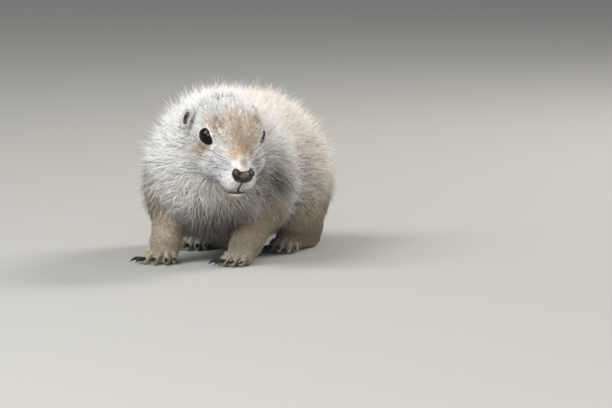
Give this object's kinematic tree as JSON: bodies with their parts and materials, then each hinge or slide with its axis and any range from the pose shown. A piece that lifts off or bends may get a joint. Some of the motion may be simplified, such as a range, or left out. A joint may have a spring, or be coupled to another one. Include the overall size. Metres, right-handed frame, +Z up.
{
  "type": "prairie dog",
  "caption": "Still, life-size museum model of a young prairie dog standing on its feet with its head turned to its left.",
  "frame": {"origin": "centre of the bounding box in plan, at the level of the floor the feet stand on", "axes": "+Z up; -Y the way the body faces; +X the animal's left; +Y its length, towards the tail"},
  "size_m": [0.0722, 0.2128, 0.0824],
  "materials": {
    "coat": "short thick fur",
    "tail_fur": "dark fur of the tail's end",
    "foot_fur": "short fur",
    "ear_fur": "short fur over thin skin",
    "nose_skin": "moist bare skin",
    "eye": "wet gloss",
    "claw_horn": "satin horn"
  },
  "bodies": {
    "root": {"torso": "coat", "neck": "coat", "head": "coat", "foreleg_left": "coat", "hindleg_left": "coat", "forefoot_left": "foot_fur", "hindfoot_left": "foot_fur", "ear_left": "ear_fur", "eye_left": "eye", "claw_fore_left_1": "claw_horn", "claw_fore_left_2": "claw_horn", "claw_fore_left_3": "claw_horn", "claw_fore_left_4": "claw_horn", "claw_fore_left_5": "claw_horn", "claw_hind_left_1": "claw_horn", "claw_hind_left_2": "claw_horn", "claw_hind_left_3": "claw_horn", "claw_hind_left_4": "claw_horn", "claw_hind_left_5": "claw_horn", "foreleg_right": "coat", "hindleg_right": "coat", "forefoot_right": "foot_fur", "hindfoot_right": "foot_fur", "ear_right": "ear_fur", "eye_right": "eye", "claw_fore_right_1": "claw_horn", "claw_fore_right_2": "claw_horn", "claw_fore_right_3": "claw_horn", "claw_fore_right_4": "claw_horn", "claw_fore_right_5": "claw_horn", "claw_hind_right_1": "claw_horn", "claw_hind_right_2": "claw_horn", "claw_hind_right_3": "claw_horn", "claw_hind_right_4": "claw_horn", "claw_hind_right_5": "claw_horn", "nose": "nose_skin", "tail": "coat", "tail_tip": "tail_fur"}
  },
  "joints": []
}
